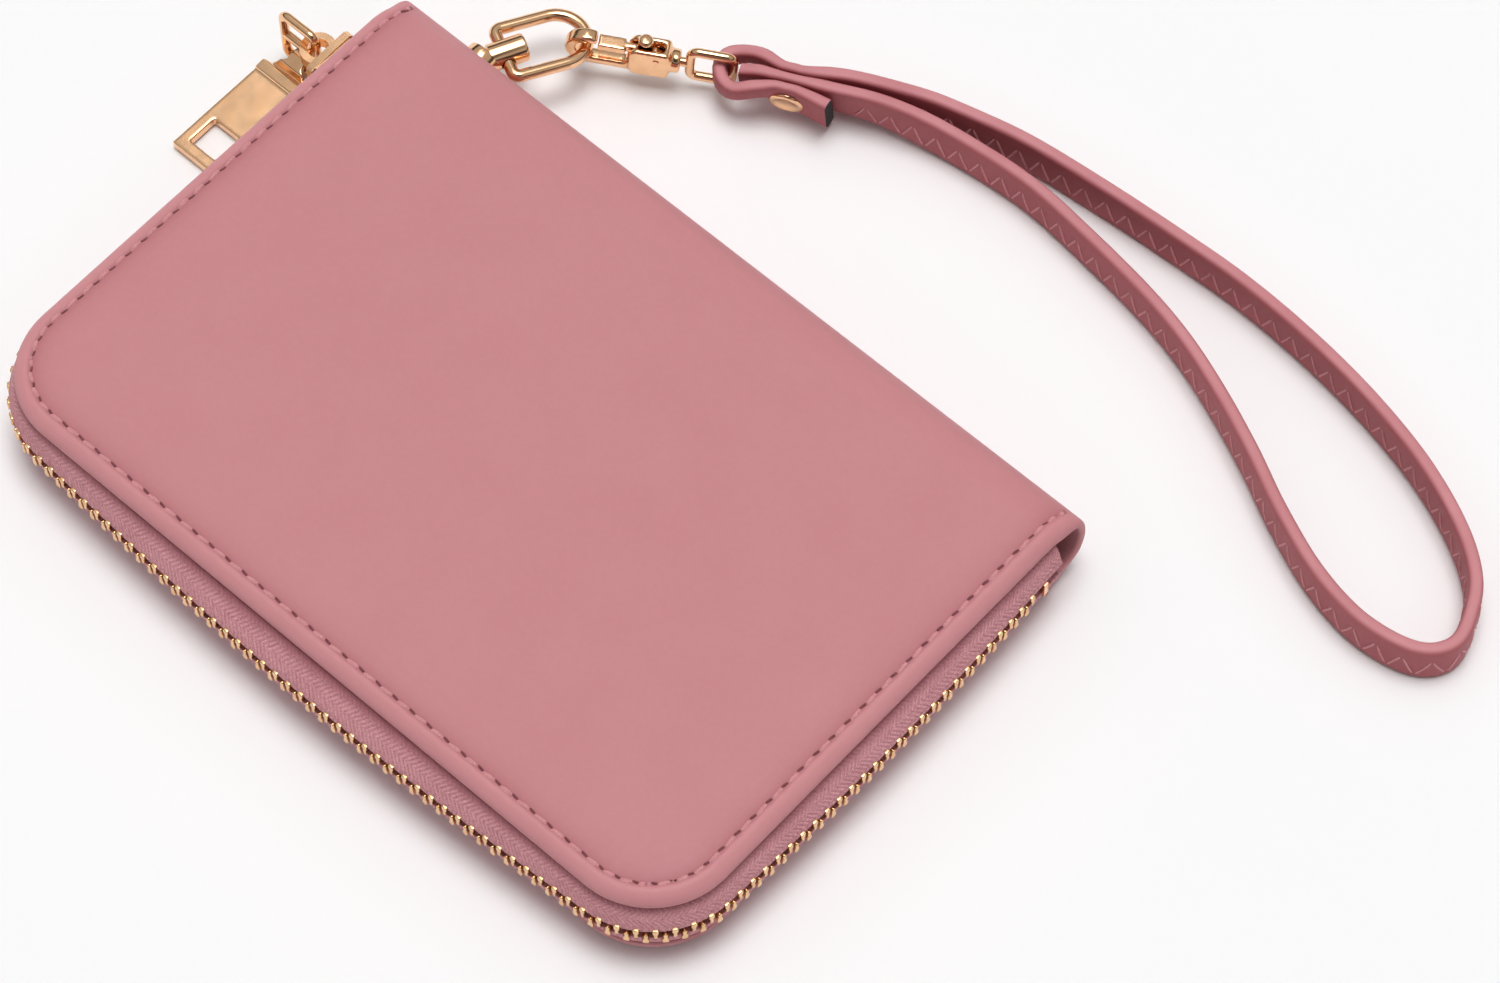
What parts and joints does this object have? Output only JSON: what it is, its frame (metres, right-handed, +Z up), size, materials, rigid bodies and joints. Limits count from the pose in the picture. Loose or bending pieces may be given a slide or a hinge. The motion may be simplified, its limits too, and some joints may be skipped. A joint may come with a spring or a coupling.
{
  "type": "wristlet wallet",
  "caption": "Zip-around bifold wallet in soft faux leather with a metal zip, inner card pockets and a wrist strap on a swivel trigger clasp.",
  "frame": {"origin": "on the flat outer face of the back cover, on which the closed wallet rests", "axes": "+X towards the spine, +Y along the spine towards the end with the closed slider, +Z up through the front cover"},
  "size_m": [0.1457, 0.2008, 0.018],
  "materials": {
    "leather": "smooth matt faux leather",
    "strap_leather": "smooth faux leather with painted edges",
    "lining": "plain woven lining",
    "board": "stiff plastic sheet",
    "zip_tape": "herringbone woven tape",
    "zip_teeth": "bright gold",
    "gold_metal": "polished pale gold plating",
    "spring_steel": "plain"
  },
  "bodies": {
    "back_half": {"back_cover": "leather", "back_board": "board", "back_lining": "lining", "spine_lining": "lining", "bill_pocket": "lining", "back_card_pocket_1": "leather", "back_card_pocket_2": "leather", "back_card_pocket_3": "leather", "lower_zip_tape": "zip_tape", "lower_teeth": "zip_teeth", "lower_run_teeth": "zip_teeth", "lower_top_stop": "gold_metal", "bottom_stop": "gold_metal", "anchor_post": "gold_metal", "anchor_washer": "gold_metal", "anchor_screw": "gold_metal"},
    "front_half": {"front_cover": "leather", "front_board": "board", "front_lining": "lining", "front_card_pocket_1": "leather", "front_card_pocket_2": "leather", "front_card_pocket_3": "leather", "front_card_pocket_4": "leather", "upper_zip_tape": "zip_tape", "upper_teeth": "zip_teeth", "upper_run_teeth": "zip_teeth", "upper_top_stop": "gold_metal"},
    "slider": {"zip_slider": "gold_metal"},
    "pull_link": {"pull_link": "gold_metal"},
    "pull_tab": {"pull_tab": "gold_metal"},
    "strap_link": {"strap_link": "gold_metal"},
    "clasp": {"clasp_body": "gold_metal", "gate_pin": "gold_metal", "gate_spring": "spring_steel"},
    "gate": {"clasp_gate": "gold_metal"},
    "strap_ring": {"strap_ring": "gold_metal"},
    "strap": {"wrist_strap": "strap_leather", "strap_rivet": "gold_metal", "rivet_burr": "gold_metal"}
  },
  "joints": [
    {"name": "front_open", "type": "hinge", "parent": "back_half", "child": "front_half", "pos_m": [0.04428, 0, 0.01589], "axis": [0, 1, 0], "range_deg": [0, 180]},
    {"name": "slider_run", "type": "slide", "parent": "back_half", "child": "slider", "axis": [-1, 0, 0], "range_m": [0, 0.052], "deforming": ["lower_run_teeth", "upper_run_teeth"]},
    {"name": "pull_link_swing", "type": "hinge", "parent": "slider", "child": "pull_link", "pos_m": [0.0325, 0.0733, 0.009], "axis": [0, 0, 1], "range_deg": [-60, 4]},
    {"name": "pull_tab_swing", "type": "hinge", "parent": "pull_link", "child": "pull_tab", "pos_m": [0.0325, 0.0772, 0.0019], "axis": [0, 1, 0], "range_deg": [0, 40]},
    {"name": "strap_link_lift", "type": "hinge", "parent": "back_half", "child": "strap_link", "pos_m": [0.0511, 0.05165, 0.009], "axis": [0.4384, 0.8988, 0], "range_deg": [-80, 0]},
    {"name": "clasp_swing", "type": "hinge", "parent": "strap_link", "child": "clasp", "pos_m": [0.05886, 0.04786, 0.00801], "axis": [0, 0, 1], "range_deg": [-10, 25]},
    {"name": "gate_press", "type": "hinge", "parent": "clasp", "child": "gate", "pos_m": [0.06728, 0.0349, 0.00774], "axis": [-0.8387, -0.5446, 0], "range_deg": [0, 12], "stiffness_Nm_per_rad": 0.005, "springref_deg": -20.05, "deforming": ["gate_spring"]},
    {"name": "ring_swivel", "type": "hinge", "parent": "clasp", "child": "strap_ring", "pos_m": [0.07362, 0.02514, 0.00585], "axis": [-0.5431, 0.8362, 0.0762], "continuous": true},
    {"name": "strap_swing", "type": "hinge", "parent": "strap_ring", "child": "strap", "pos_m": [0.07362, 0.02514, 0.00585], "axis": [0, 0, 1], "range_deg": [-5, 40]}
  ]
}
